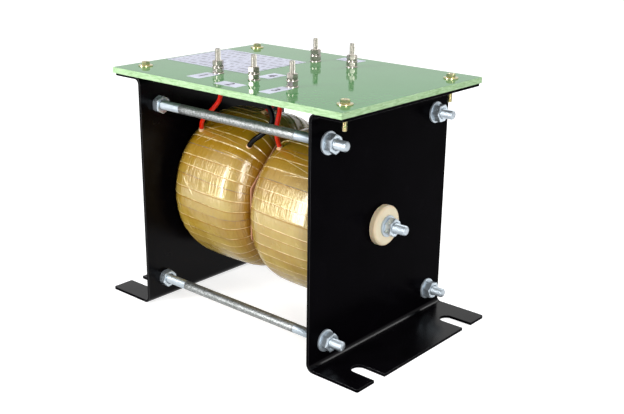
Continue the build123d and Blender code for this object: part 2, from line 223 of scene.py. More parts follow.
# ---- materials ----
def powder_coat(name, colour, outside, level, inside):
    """Black paint with faint orange peel. Outside, level and inside are the gloss of faces that look those ways."""
    g = Finish(name)
    place, normal = g.place(), g.normal()
    patches = g.noise(place, 28.0)
    tone = g.mix(g.span(patches, 0.35, 0.7), colour, tuple(1.5 * c for c in colour))
    flat = g.math("ABSOLUTE", g.split(normal, "Z"))
    inward = g.math("LESS_THAN", g.times(g.split(place, "X"), g.split(normal, "X")), 0.0)
    gloss = g.span(flat, 0.3, 0.95, g.span(inward, 0.0, 1.0, outside, inside), level)
    peel = g.bump(g.noise(place, 420.0, 2.0), 0.02 * mm, 0.35)
    return g.shade(tone, g.span(patches, 0.3, 0.7, 0.2, 0.28), specular=gloss, normal=peel)


def laminate():
    """Green glass laminate: glossy faces over a faint weave, paler sawn edges with the layers showing."""
    g = Finish("green_laminate")
    place = g.place()
    is_face = g.span(g.math("ABSOLUTE", g.split(g.normal(), "Z")), 0.55, 0.8)
    weave, cloud = g.noise(place, 260.0, 2.0), g.noise(place, 22.0)
    face = g.mix(g.span(cloud, 0.3, 0.7), (0.048, 0.225, 0.058), (0.06, 0.25, 0.075))
    face = g.mix(g.span(weave, 0.35, 0.75, 0.0, 0.35), face, (0.08, 0.28, 0.095))
    layers = g.noise(g.scaled(place, (110.0, 110.0, 800.0)), 1.0, 4.0, 0.6)
    chips = g.noise(g.scaled(place, (260.0, 260.0, 700.0)), 1.0, 3.0, 0.6)
    edge = g.ramp(layers, (0.3, (0.22, 0.36, 0.17)), (0.5, (0.34, 0.52, 0.28)), (0.72, (0.46, 0.64, 0.39)))
    edge = g.mix(g.span(chips, 0.55, 0.75, 0.0, 0.5), edge, (0.62, 0.76, 0.54))
    rough = g.span(is_face, 0.0, 1.0, 0.55, 0.07)
    height = g.times(layers, g.span(is_face, 0.0, 1.0, 1.0, 0.02))
    sawn = g.bump(height, 0.12 * mm, 0.6)
    return g.shade(g.mix(is_face, edge, face), rough, specular=0.21, normal=sawn)


def plated(name, dark, light, smooth, rough, scale=90.0, grain=0.02, stretch=(1.0, 1.0, 1.0), metal=1.0):
    """Plated metal: tone and gloss wander a little, over a fine grain."""
    g = Finish(name)
    place = g.scaled(g.place(), stretch)
    patches = g.noise(place, scale, 4.0, 0.6)
    fine = g.bump(g.noise(place, scale * 14, 3.0, 0.6), grain * mm, 0.5)
    tone = g.mix(g.span(patches, 0.3, 0.7), dark, light)
    return g.shade(tone, g.span(patches, 0.3, 0.7, smooth, rough), metallic=metal, normal=fine)


def galvanised():
    """The rod's dull shank: finely spangled grey zinc."""
    g = Finish("galvanised_shank")
    place = g.place()
    spangle = g.split(g.node("ShaderNodeTexVoronoi", {"Vector": place, "Scale": 900.0}, "Color"), "X")
    fine = g.noise(place, 1500.0, 4.0, 0.7)
    stops = (0.2, (0.13, 0.14, 0.135)), (0.5, (0.21, 0.22, 0.215)), (0.8, (0.33, 0.34, 0.345))
    tone = g.ramp(g.mix(0.4, spangle, fine), *stops)
    rough = g.span(spangle, 0.0, 1.0, 0.28, 0.4)
    return g.shade(tone, rough, metallic=0.75, normal=g.bump(fine, 0.03 * mm, 0.4))


def yellow_zinc():
    """Passivated zinc: gold with pink and green bloom."""
    g = Finish("yellow_zinc_plate")
    bloom = g.noise(g.place(), 240.0, 2.0, 0.5, 0.6)
    gold, straw, pink, green = (0.38, 0.36, 0.13), (0.62, 0.58, 0.33), (0.57, 0.48, 0.31), (0.38, 0.46, 0.22)
    tone = g.ramp(bloom, (0.3, gold), (0.45, straw), (0.55, pink), (0.68, green))
    fine = g.noise(g.place(), 1400.0, 2.0)
    return g.shade(tone, 0.2, metallic=1.0, normal=g.bump(fine, 0.01 * mm, 0.4))


def nylon():
    """Turned nylon: cream, with the fine rings of the tool and browner towards its rim."""
    g = Finish("cream_nylon_turned")
    place = g.place()
    radius = g.bolt_radius(place)
    rings = g.math("SINE", g.times(radius, tau / (0.45 * mm)))
    cloud = g.noise(place, 120.0)
    tone = g.mix(cloud, (0.71, 0.60, 0.40), (0.81, 0.73, 0.54))
    tone = g.mix(g.span(radius, 17.0 * mm, 20.5 * mm, 0.0, 0.35), tone, (0.50, 0.31, 0.14))
    turned = g.bump(g.math("ADD", rings, g.times(cloud, 1.5)), 0.01 * mm, 0.5)
    return g.shade(tone, 0.38, subsurface=0.15, subsurface_scale=2 * mm, normal=turned)


def board_stock(name, dark, light):
    """Pressed insulating board: matt, with short fibres."""
    g = Finish(name)
    fibres = g.noise(g.scaled(g.place(), (1.0, 0.35, 1.0)), 700.0, 4.0, 0.65)
    tone = g.mix(g.span(fibres, 0.3, 0.7), dark, light)
    return g.shade(tone, 0.8, specular=0.25, normal=g.bump(fibres, 0.05 * mm, 0.6))


def core_steel():
    """Strip-wound core: the edges of the strip show as fine rings."""
    g = Finish("strip_wound_steel")
    strips = g.math("SINE", g.times(g.bolt_radius(g.place()), tau / (0.3 * mm)))
    tone = g.mix(g.span(strips, -1.0, 1.0), (0.26, 0.27, 0.28), (0.44, 0.45, 0.46))
    return g.shade(tone, 0.4, metallic=1.0, normal=g.bump(strips, 0.02 * mm, 0.6))


def sleeve(name, colour, rough, specular):
    """Extruded insulation: satin, with a faint drawn grain."""
    g = Finish(name)
    drawn = g.noise(g.place(), 320.0)
    tone = g.mix(g.span(drawn, 0.3, 0.7), colour, tuple(0.72 * c for c in colour))
    rough = g.span(drawn, 0.3, 0.7, rough, rough + 0.1)
    return g.shade(tone, rough, specular=specular, normal=g.bump(drawn, 0.03 * mm, 0.4))


def paper(name, ruled, corner, depth):
    """Label film: lilac-white. A ruled one has plain grey rules and rows of dashes, counted from its corner."""
    row_count = 8
    g = Finish(name)
    place = g.place()
    cloud = g.noise(place, 60.0, 2.0)
    tone = g.mix(g.span(cloud, 0.3, 0.7), (0.56, 0.58, 0.70), (0.62, 0.64, 0.76))
    if ruled:
        along = g.math("SUBTRACT", g.split(place, "X"), corner[0])
        rows = g.math("DIVIDE", g.math("SUBTRACT", g.split(place, "Y"), corner[1]), depth / row_count)
        row, within = g.math("FLOOR", rows), g.math("FRACT", rows)
        dashes = g.joined(g.times(along, 240.0), g.times(row, 1.37))
        dashes = g.math("GREATER_THAN", g.noise(dashes, 1.0, 1.0), 0.47)
        band = g.times(g.math("GREATER_THAN", within, 0.38), g.math("LESS_THAN", within, 0.72))
        rule = g.times(g.math("LESS_THAN", within, 0.12), 0.4)
        marks = g.math("MAXIMUM", rule, g.times(g.times(dashes, band), 0.6))
        tone = g.mix(marks, tone, (0.05, 0.045, 0.08))
    return g.shade(tone, 0.3, specular=0.12, normal=g.bump(cloud, 0.02 * mm, 0.3))


def ink():
    g = Finish("label_ink")
    return g.shade(g.mix(g.noise(g.place(), 900.0), (0.02, 0.018, 0.03), (0.06, 0.05, 0.08)), 0.6)


def crease(g, place, centre, plan):
    """One thin fold pressed into the tape: a ridge from 1 down to 0 that fades out at both ends."""
    along_axis, round_axle, turn, half_length, width = plan
    theta, phi = radians(round_axle), radians(turn)
    outward = Vector((0, cos(theta), sin(theta)))
    spot = centre + outward * (coil_radius - 1 * mm) + Vector((along_axis * mm, 0, 0))
    way = cos(phi) * Vector((1, 0, 0)) + sin(phi) * Vector((0, -sin(theta), cos(theta)))
    offset = g.vector("SUBTRACT", place, spot)
    side = g.vector("DOT_PRODUCT", offset, outward.cross(way) / (width * mm))
    ridge = g.math("MAXIMUM", g.math("SUBTRACT", 1.0, g.math("ABSOLUTE", side)), 0.0)
    far = g.vector("LENGTH", offset)
    return g.times(ridge, g.span(far, half_length * 0.4 * mm, half_length * mm, 1.0, 0.0))


def film(name, seed, centre, creases):
    """Amber polyester tape. The mesh carries (lap number and place across the lap, metres round the section)."""
    g = Finish(name)
    place, normal = g.place(), g.normal()
    wound = g.node("ShaderNodeUVMap", output="UV", uv_map="wound")
    lap, run = g.split(wound, "X"), g.split(wound, "Y")
    lap_index, across = g.math("FLOOR", lap), g.math("FRACT", lap)

    def luck(start):
        """A number from 0 to 1 that each lap keeps for itself."""
        number = g.math("ADD", lap_index, seed + start)
        return g.node("ShaderNodeTexWhiteNoise", {"W": number}, "Value", noise_dimensions="1D")

    # layers seen through each other: slow clouds, and a tint that changes from lap to lap
    cloud = g.noise(place, 30.0, 4.0, 0.55, 0.4)
    tone = g.ramp(cloud, (0.3, (0.25, 0.132, 0.003)), (0.5, (0.32, 0.20, 0.014)), (0.7, (0.385, 0.275, 0.05)))
    tone = g.mix(g.span(luck(0.0), 0.0, 1.0, 0.0, 0.65), tone, (0.41, 0.325, 0.105))
    under = g.math("ABSOLUTE", g.math("SUBTRACT", across, g.span(luck(20.5), 0.0, 1.0, 0.25, 0.65)))
    tone = g.mix(g.span(under, 0.0, 0.035, 0.4, 0.0), tone, (0.38, 0.18, 0.012))
    # each lap is deeper where it is covered by the lap before, partly from the extra film and partly as painted shade
    # under that lap's raised edge
    tone = g.mix(g.span(across, 0.0, 0.9, 0.3, 0.0), tone, (0.24, 0.12, 0.004))
    # painted shade and reflection: between the coils the film is painted deeper amber in place of the light of its
    # amber neighbour, and under the board it is painted deeper in place of the board's shade
    upward = g.split(normal, "Z")
    sideways = g.math("ABSOLUTE", g.split(normal, "X"))
    tone = g.mix(g.span(sideways, 0.4, 0.9, 0.0, 0.85), tone, (0.27, 0.12, 0.001))
    tone = g.mix(g.span(upward, 0.35, 0.8, 0.0, 0.7), tone, (0.36, 0.17, 0.002))
    gloss = g.span(upward, -0.45, 0.12, 0.12, 1.0)
    # the cut edge of each lap is a thin pale line, broken here and there; a few are dark gaps
    broken = g.noise(g.scaled(place, (1.0, 0.4, 0.4)), 120.0, 3.0, 0.6)
    edge = g.times(g.span(across, 0.905, 0.94), g.span(across, 0.975, 0.998, 1.0, 0.2))
    edge = g.times(edge, g.span(broken, 0.38, 0.6, 0.15, 0.85))
    edge_tone = g.mix(g.math("GREATER_THAN", luck(50.5), 0.78), (0.86, 0.68, 0.36), (0.12, 0.10, 0.09))
    tone = g.mix(edge, tone, edge_tone)
    # a thin deeper band where each lap starts: partly the overlap's deeper amber, partly painted shade under the step
    # of the lap before
    tone = g.mix(g.span(across, 0.0, 0.13, 0.8, 0.0), tone, (0.30, 0.125, 0.004))
    # ripples run across the laps and fade from one into the next
    ripples = 0.0
    for pitch, share in ((300.0, 1.0), (760.0, 0.35)):
        spot = g.joined(g.times(run, pitch), g.times(lap, 0.4), g.times(luck(70.5), 0.5))
        ripples = g.math("ADD", ripples, g.times(g.noise(spot, 1.0, 2.0, 0.5, 0.5), share))
    # creases where the film was pulled askew, none of them quite straight
    sway = 3 * mm
    wander = g.vector("MULTIPLY", g.noise(place, 40.0, 1.0, output="Color"), (sway, sway, sway))
    bent = g.vector("SUBTRACT", g.vector("ADD", place, wander), (sway / 2, sway / 2, sway / 2))
    folds = 0.0
    for plan in creases:
        folds = g.math("ADD", folds, crease(g, bent, centre, plan))
    # painted highlight: the film is painted paler along each crease
    tone = g.mix(g.times(folds, 0.5), tone, (0.74, 0.60, 0.32))
    surface = g.bump(ripples, 0.7 * mm, 0.9)
    surface = g.bump(folds, 0.5 * mm, 0.6, Normal=surface)
    surface = g.bump(g.noise(place, 190.0, 3.0, 0.55, 0.8), 0.1 * mm, 0.4, Normal=surface)
    rough = g.span(g.noise(place, 75.0), 0.3, 0.7, 0.15, 0.3)
    coat = {"coat": g.times(gloss, 0.8), "coat_roughness": 0.1}
    return g.shade(tone, rough, specular=gloss, specular_tint=(1.0, 0.9, 0.64), normal=surface, **coat)


def collar_film():
    """The clear tape that holds each lead down: amber, pinkish where it is gathered."""
    g = Finish("clear_collar_film")
    crumple = g.noise(g.place(), 420.0, 4.0, 0.6, 1.0)
    tone = g.mix(g.span(crumple, 0.35, 0.65), (0.60, 0.30, 0.14), (0.80, 0.56, 0.32))
    return g.shade(tone, 0.2, specular=0.7, normal=g.bump(crumple, 0.5 * mm, 0.8))


paint = powder_coat("black_powder_coat_gloss", (0.0011, 0.0009, 0.0014), 0.005, 0.16, 0.08)
paint_edge = powder_coat("black_powder_coat_edge", (0.005, 0.005, 0.006), 0.6, 0.4, 0.6)
green = laminate()
zinc = plated("bright_zinc_plate", (0.38, 0.43, 0.47), (0.51, 0.57, 0.62), 0.3, 0.4, metal=0.82)
dull_zinc = plated("dull_zinc_plate", (0.40, 0.45, 0.50), (0.53, 0.60, 0.65), 0.3, 0.42, metal=0.68)
# the nuts' zinc is painted lighter and bluer than the rods' zinc: a painted reflection of bright surroundings in their
# flats
nut_zinc = plated("bright_zinc_nut_plate", (0.46, 0.53, 0.59), (0.64, 0.72, 0.78), 0.2, 0.32, metal=0.68)
shank_zinc = galvanised()
nickel = plated("nickel_plate_bright", (0.33, 0.30, 0.265), (0.50, 0.465, 0.42), 0.18, 0.28, 140.0, 0.01)
stud_nickel = plated(
    "nickel_plate_threads", (0.42, 0.40, 0.36), (0.55, 0.525, 0.475), 0.26, 0.34, 140.0, 0.01, metal=0.95
)
gold_zinc = yellow_zinc()
tin = plated("tinned_copper_dull", (0.40, 0.39, 0.38), (0.56, 0.55, 0.53), 0.25, 0.42)
copper = plated("winding_copper_wire", (0.50, 0.22, 0.11), (0.70, 0.36, 0.20), 0.25, 0.4, stretch=(1.0, 6.0, 6.0))
cream = nylon()
pressboard = board_stock("pressed_board_brown", (0.34, 0.16, 0.09), (0.52, 0.27, 0.16))
steel = core_steel()
sleeves = {
    "red": sleeve("red_lead_sleeve", (0.78, 0.014, 0.002), 0.25, 0.25),
    "black": sleeve("black_lead_sleeve", (0.002, 0.002, 0.0025), 0.12, 0.1),
}
collar = collar_film()


# ---- meshes ----
class Shape:
    """Vertices and faces gathered for one mesh."""

    def __init__(self):
        self.points, self.faces, self.corners_uv = [], [], []

    def grid(self, rows, closed=False, ends=(), uvs=None):
        """Quads between rings of points. Closed joins the last ring to the first, and ends are rings with a face."""
        first = len(self.points)
        width = len(rows[0])
        for row in rows:
            self.points.extend(row)
        for i in range(len(rows) if closed else len(rows) - 1):
            low, high = first + i * width, first + (i + 1) % len(rows) * width
            for j in range(width):
                k = (j + 1) % width
                self.faces.append((low + j, low + k, high + k, high + j))
                if uvs:
                    self.corners_uv.extend(uvs(i, j))
        for end in ends:
            low = first + end % len(rows) * width
            self.faces.append(tuple(range(low, low + width)))

    def make(self, name, material, nodes=(), angle=30.0):
        mesh = bpy.data.meshes.new(name)
        mesh.from_pydata(self.points, [], self.faces)
        if self.corners_uv:
            mesh.uv_layers.new(name="wound").data.foreach_set("uv", self.corners_uv)
        finish_piece(name, mesh, [material], nodes, angle)


def welded(mesh):
    """The mesh opened for work, with the points that meet joined."""
    work = bmesh.new()
    work.from_mesh(mesh)
    bmesh.ops.remove_doubles(work, verts=work.verts, dist=1e-6)
    return work


def finish_piece(name, mesh, materials, nodes=(), angle=30.0):
    """Welds a mesh, turns its faces outwards, rounds its shading and hangs it on the body."""
    work = welded(mesh)
    bmesh.ops.recalc_face_normals(work, faces=work.faces)
    work.to_mesh(mesh)
    work.free()
    mesh.polygons.foreach_set("use_smooth", [True] * len(mesh.polygons))
    mesh.set_sharp_from_angle(angle=radians(angle))
    for material in materials:
        mesh.materials.append(material)
    piece = added(name, mesh)
    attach(piece, body)
    if nodes:
        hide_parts(*nodes)
    return piece


def round_axis(origin, axis, start):
    """A function from (radius, angle, height) to a point round an axis; start is the way of angle 0."""
    up = Vector(axis).normalized()
    first = Vector(start).normalized()
    second = up.cross(first)
    base = Vector(origin)

    def at(radius, angle, height):
        return base + up * height + (first * cos(angle) + second * sin(angle)) * radius

    return at


def along_x(x, y, z, way=1):
    return round_axis((x, y, z), (way, 0, 0), (0, 1, 0))


def along_z(place, z, way=1):
    return round_axis((place.x, place.y, z), (0, 0, way), (1, 0, 0))


def circle(at, radius, level, segments, turn=0.0):
    return [at(radius, tau * i / segments + turn, level) for i in range(segments)]


def add_lathe(shape, at, profile, segments=48, **joints):
    """Turns a profile of (radius, height) round an axis."""
    shape.grid([circle(at, radius, height, segments) for radius, height in profile], **joints)


def add_washer(shape, at, inner, outer, thickness, rounding):
    """A stamped washer: one edge rolled over, the other nearly square."""
    small = rounding * 0.3
    under = [(inner, small), (inner + small, 0), (outer - small, 0), (outer, small)]
    rolled = [(outer, thickness - rounding), (outer - small, thickness - small), (outer - rounding, thickness)]
    bore = [(inner + rounding, thickness), (inner, thickness - rounding)]
    add_lathe(shape, at, under + rolled + bore, closed=True)


hex_steps = 72
corner_slope = tan(radians(30))  # the cone that turns a hexagon's corners down
corner_left = 0.985  # of the reach of a sharp corner
nut_face = 0.96  # of the apothem: the round flat on each face of a nut


def hexagon(at, apothem, level, turn, slope=0.0, face=nut_face):
    """One row round a hexagon. With a slope its corners drop from a round face of that share of the apothem."""
    half_side = radians(30)
    row = []
    for i in range(hex_steps):
        angle = tau * i / hex_steps
        within = (angle + half_side) % (2 * half_side) - half_side
        reach = min(apothem / cos(half_side - abs(within)), corner_left * apothem / cos(half_side))
        row.append(at(reach, angle + turn, level - max(0.0, reach - face * apothem) * slope))
    return row


def add_nut(shape, at, flats, bore, height, turn):
    """A hexagon nut: corners turned down to a cone at both faces, and a countersunk bore."""
    apothem = flats / 2
    face_radius = nut_face * apothem
    countersink = 0.06 * flats

    def ring(radius, level):
        return circle(at, radius, level, hex_steps, turn)

    rows = [ring(bore, countersink), ring(bore + countersink, 0), ring(face_radius, 0)]
    rows += [hexagon(at, apothem, 0, turn, -corner_slope), hexagon(at, apothem, height, turn, corner_slope)]
    rows += [ring(face_radius, height), ring(bore + countersink, height), ring(bore, height - countersink)]
    shape.grid(rows, closed=True)


def add_thread(shape, at, radius, length, pitch, chamfer, fade_run=0.0, segments=28):
    """A threaded length. Its root shows between crests, and a free end has a chamfer and a flat face.

    The thread fades out over fade_run where its far end meets a plain shank.
    """
    depth = 0.42 * pitch
    root, flanks = 0.2, 0.6  # of the pitch
    steps_per_turn = 6
    steps = max(2, round(length / pitch * steps_per_turn))

    def surface(angle, height):
        phase = (height / pitch - angle / tau) % 1.0
        crest = min(1.0, max(0.0, (abs(phase - 0.5) * 2 - root) / flanks))
        fade = min(1.0, (length - height) / fade_run) if fade_run else 1.0
        reach = radius - depth * (1 - crest) * max(0.0, fade)
        reach = min(reach, radius - chamfer + height)
        return reach if fade_run else min(reach, radius - chamfer + (length - height))

    rows = []
    for step in range(steps + 1):
        height = length * step / steps
        rows.append([at(surface(tau * i / segments, height), tau * i / segments, height) for i in range(segments)])
    shape.grid(rows, ends=(0,) if fade_run else (0, -1))


def dress(node, name, materials, width):
    """A copy of a CAD node whose sharp edges are broken by a small bevel; the bevel has the last material."""
    mesh = frame["nodes"][node].data.copy()
    mesh.materials.clear()
    work = welded(mesh)
    for face in work.faces:
        face.material_index = 0
    bmesh.ops.dissolve_limit(work, angle_limit=radians(0.4), verts=work.verts, edges=work.edges)
    sharp = [edge for edge in work.edges if len(edge.link_faces) == 2 and edge.calc_face_angle() > radians(35)]
    look = {"profile": 0.5, "affect": "EDGES", "clamp_overlap": True, "material": len(materials) - 1}
    bmesh.ops.bevel(work, geom=sharp, offset=width, segments=2, **look)
    bmesh.ops.triangulate(work, faces=[face for face in work.faces if len(face.verts) > 4])
    work.to_mesh(mesh)
    work.free()
    piece = finish_piece(name, mesh, materials, (node,))
    weighted = piece.modifiers.new("flat faces stay flat", "WEIGHTED_NORMAL")
    weighted.keep_sharp = True
    weighted.weight = 100


# ---- places of the repeated fasteners, read from the frame ----
def solids_of(node):
    """The separate solids of one node, each as its lowest corner, highest corner, centre and points."""
    work = welded(frame["nodes"][node].data)
    left = set(work.verts)
    solids = []
    while left:
        joined = [left.pop()]
        for vertex in joined:
            for edge in vertex.link_edges:
                other = edge.other_vert(vertex)
                if other in left:
                    left.remove(other)
                    joined.append(other)
        points = [vertex.co.copy() for vertex in joined]
        low, high = (Vector(pick(axis) for axis in zip(*points)) for pick in (min, max))
        solids.append((low, high, (low + high) / 2, points))
    work.free()
    return sorted(solids, key=lambda solid: tuple(round(value, 4) for value in (*solid[0], *solid[1])))


def corner_angle(points, centre, first, second):
    """The turn of a hexagon nut: the angle of its farthest corner, from the first axis towards the second."""
    offsets = [(round((point - centre).dot(first), 6), round((point - centre).dot(second), 6)) for point in points]
    farthest = max(hypot(u, v) for u, v in offsets)
    corners = [atan2(v, u) % radians(60) for u, v in offsets if hypot(u, v) > farthest - 0.01 * mm]
    return min(corners)


def paint_node(node, material):
    """Gives a CAD node, whose shape is right as it is, its finished material."""
    mesh = frame["nodes"][node].data
    mesh.materials.clear()
    mesh.materials.append(material)


# ---- the taped coils ----
tape_turns = 46
tape_step = 0.35 * mm
tape_slant = radians(3.0)
coil_crown = 2.5 * mm
coil_shoulder = 28.0 * mm
bore_radius = 26.0 * mm
bore_rounding = 8.0 * mm
lap_columns = (0.0, 0.14, 0.38, 0.62, 0.86, 0.975)
lap_bulge = 0.16 * mm  # a lap is rounder than its chord, but not as round as the coil
lap_stray = 0.09  # of a lap: how far one may start from its even place
slant_stray = 0.018
lap_lifts = (-0.22, 0.12)  # how low and how high a lap may lie, in mm
edge_wave = 0.25 * mm
pucker_reach = 30 * mm  # the tape is gathered this far round each lead
pucker_height, pucker_fade, pucker_bare, pucker_folds = 0.7 * mm, 9 * mm, 3 * mm, 7
tape_seeds = {"left": 3, "right": 8}
tape_creases = {  # along the axis (mm), round the coil (degrees), slope (degrees), half length and width (mm)
    "left": [
        (4, 129, 6, 34, 0.7), (31, 140, 3, 20, 0.7), (-25, 133, 118, 7, 1.0), (-9, 133, 139, 8, 0.9),
        (-13, 122, -29, 13, 0.8), (-26, 167, 42, 8, 1.8), (-15, 174, 45, 8, 1.4), (-34, 186, 70, 8, 1.0),
        (-24, 203, 80, 7, 0.9), (24, 150, 12, 22, 0.6),
    ],
    "right": [
        (-8, 127, 8, 34, 0.7), (-2, 134, 13, 30, 0.6), (-33, 129, 112, 7, 0.9), (12, 141, -6, 24, 0.6),
        (-38, 160, 84, 12, 0.9), (-30, 176, 60, 8, 0.9),
    ],
}


def coil_outline():
    """The coil's closed section as (axial place, radius): barrel, shoulder, side, bore and back.

    The second list is how far round the section each point lies, in metres, and its last is the whole way round.
    """
    half = coil_width / 2 - tape_step
    shoulder_x = half - coil_shoulder
    tilt = atan(2 * coil_crown * shoulder_x / half**2)

    def crown(x):
        return coil_radius - coil_crown * (x / half) ** 2

    join_x = shoulder_x + coil_shoulder * sin(tilt)
    centre_r = crown(join_x) - coil_shoulder * cos(tilt)
    points = []
    barrel_steps, shoulder_steps, side_steps, rounding_steps, bore_steps = 30, 14, 12, 5, 14
    for i in range(barrel_steps):
        x = -join_x + 2 * join_x * i / barrel_steps
        points.append((x, crown(x)))
    for i in range(shoulder_steps):
        angle = tilt + (pi / 2 - tilt) * i / shoulder_steps
        points.append((shoulder_x + coil_shoulder * sin(angle), centre_r + coil_shoulder * cos(angle)))
    side_low = bore_radius + bore_rounding
    for i in range(side_steps):
        points.append((half, centre_r + (side_low - centre_r) * i / side_steps))
    for i in range(rounding_steps):
        angle = pi / 2 * i / rounding_steps
        points.append((half - bore_rounding * (1 - cos(angle)), side_low - bore_rounding * sin(angle)))
    for i in range(bore_steps):
        points.append(((half - bore_rounding) * (1 - 2 * i / bore_steps), bore_radius))
    mirrored = points[barrel_steps + 1:-bore_steps]
    points += [(-x, radius) for x, radius in reversed(mirrored)]
    steps = (dist(here, there) for here, there in zip(points, [*points[1:], points[0]]))
    return points, list(accumulate(steps, initial=0.0))


def coil_tape(name, exits):
    """The wrapped skin of one coil: flat laps that step over each other, with puckers round its leads."""
    seed = tape_seeds[name]
    chance = random.Random(seed)
    centre = coil_centres[name]
    outline, runs = coil_outline()
    starts = [turn + chance.uniform(-lap_stray, lap_stray) for turn in range(tape_turns)]
    slants = [chance.uniform(-slant_stray, slant_stray) for turn in range(tape_turns)]
    lifts = [chance.uniform(*lap_lifts) * mm for turn in range(tape_turns)]
    lap_angle = tau / tape_turns

    def edge(turn, x, radius, lift):
        index = turn % tape_turns
        angle = (starts[index] + (turn - index)) * lap_angle
        reach = radius + lift
        shift = x * (sin(tape_slant) + slants[index] * (radius / coil_radius) ** 2)
        shift += edge_wave * noise.noise(Vector((x * 60, turn * 3.7, seed)))
        return Vector((
            centre.x + x,
            cos(angle) * reach - sin(angle) * shift,
            centre.z + sin(angle) * reach + cos(angle) * shift,
        ))

    def pucker(point, lead_place, lead_way):
        """Folds that fan out from a lead and fade away from it."""
        offset = point - lead_place
        distance = offset.length
        if distance >= pucker_reach:
            return 0.0
        fold = cos(atan2(offset.dot(lead_way), offset.x) * pucker_folds + seed) * exp(-distance / pucker_fade)
        return pucker_height * fold * min(1.0, distance / pucker_bare)

    rows = []
    for (x, radius), run in zip(outline, runs):
        off_barrel = min(1.0, abs(x) / (coil_width / 2)) ** 3
        row = []
        for turn in range(tape_turns):
            low = edge(turn, x, radius, -tape_step + lifts[turn])
            high = edge(turn + 1, x, radius, lifts[turn])
            for across in lap_columns:
                point = low.lerp(high, across)
                bulge = lap_bulge * 4 * across * (1 - across) * radius / coil_radius
                outward = (point - Vector((centre.x, 0, centre.z))).normalized()
                ripple = noise.noise(Vector((run * 130, turn * 5.3 + seed, across * 0.8)))
                swell = noise.noise(Vector((point.x * 28 + seed, point.y * 28, point.z * 28)))
                lift = (0.05 + 0.16 * off_barrel) * mm * ripple + 0.3 * mm * (swell - 0.25)
                for lead_place, lead_way in exits:
                    lift += pucker(point, lead_place, lead_way)
                row.append(point + outward * (lift + bulge))
        rows.append(row)

    columns = [turn + across for turn in range(tape_turns) for across in lap_columns] + [tape_turns]

    def wound(i, j):
        """The four corners of a quad, as u and v in turn."""
        (u, next_u), (v, next_v) = columns[j:j + 2], runs[i:i + 2]
        return u, v, next_u, v, next_u, next_v, u, next_v

    shape = Shape()
    shape.grid(rows, closed=True, uvs=wound)
    tape = film(f"amber_film_{name}", seed, centre, tape_creases[name])
    shape.make(f"{name}_coil_wrap", tape, (f"{name}_coil_tape",), angle=50)


# ---- leads, from the tape to the lugs under the board ----
lead_radii = {"red": 2.3 * mm, "black": 2.7 * mm}
lead_bury = 1.5 * mm
lead_rise = 8.0 * mm
lug_offset = 12.0 * mm
lug_thickness = 1.0 * mm
lug_barrel_length = 12.0 * mm
lead_grip = 7.0 * mm
lead_drop = 4.0 * mm
barrel_mouth = board[0].z - lug_thickness - lug_barrel_length
terminals = [centre for low, high, centre, points in solids_of("terminal_studs")]
terminals.sort(key=lambda place: (round(place.y, 3), place.x))
Lead = namedtuple("Lead", "coil colour leaves way route turn")  # turn: of its lug round the stud, in degrees
leads = [
    Lead("left", "red", (-0.0862, -0.0499, 0.1906), (0.35, -0.5, 0.8),
         [(-0.072, -0.059, 0.208), (-0.054, -0.0625, 0.220)], -31),
    Lead("left", "black", (-0.0152, -0.0510, 0.1854), (0.6, -0.25, 0.75),
         [(0.0065, -0.050, 0.203), (0.012, -0.045, 0.214), (0.0125, -0.0465, 0.223)], 45),
    Lead("right", "red", (0.0205, -0.0439, 0.1889), (0.05, -0.45, 0.9),
         [(0.028, -0.0575, 0.206), (0.032, -0.061, 0.217)], 199),
    Lead("left", "red", (-0.038, -0.004, 0.2078), (0.3, 0.6, 0.75),
         [(-0.032, 0.014, 0.219), (-0.0275, 0.034, 0.221)], 270),
    Lead("right", "black", (0.030, 0.020, 0.2012), (-0.15, 0.35, 0.9),
         [(0.027, 0.031, 0.218), (0.025, 0.042, 0.2255)], 270),
]


def mesh_of(curve):
    """The mesh of a curve or a text."""
    carrier = added(curve.name, curve)
    bpy.context.view_layer.update()
    mesh = bpy.data.meshes.new_from_object(carrier.evaluated_get(bpy.context.evaluated_depsgraph_get()))
    bpy.data.objects.remove(carrier)
    mesh.materials.clear()
    return mesh


def make_lead(number, terminal, lead):
    """A round sleeve along a smooth curve, out of the tape and up into its lug."""
    name = f"lead_{number}_sleeve"
    start = Vector(lead.leaves)
    out = Vector(lead.way).normalized()
    turn = radians(lead.turn)
    mouth = Vector((terminal.x + lug_offset * cos(turn), terminal.y + lug_offset * sin(turn), barrel_mouth))
    points = [start - out * lead_bury, start + out * lead_rise, *lead.route]
    points += [mouth - Vector((0, 0, lead_drop)), mouth + Vector((0, 0, lead_grip))]
    curve = bpy.data.curves.new(name, "CURVE")
    curve.dimensions = "3D"
    spline = curve.splines.new("NURBS")
    spline.points.add(len(points) - 1)
    for place, point in zip(spline.points, points):
        place.co = (*point, 1)
    spline.order_u = 3
    spline.use_endpoint_u = True
    spline.resolution_u = 12
    curve.bevel_depth = lead_radii[lead.colour]
    curve.bevel_resolution = 6
    curve.use_fill_caps = True
    finish_piece(name, mesh_of(curve), [sleeves[lead.colour]], (f"lead_{number}",))


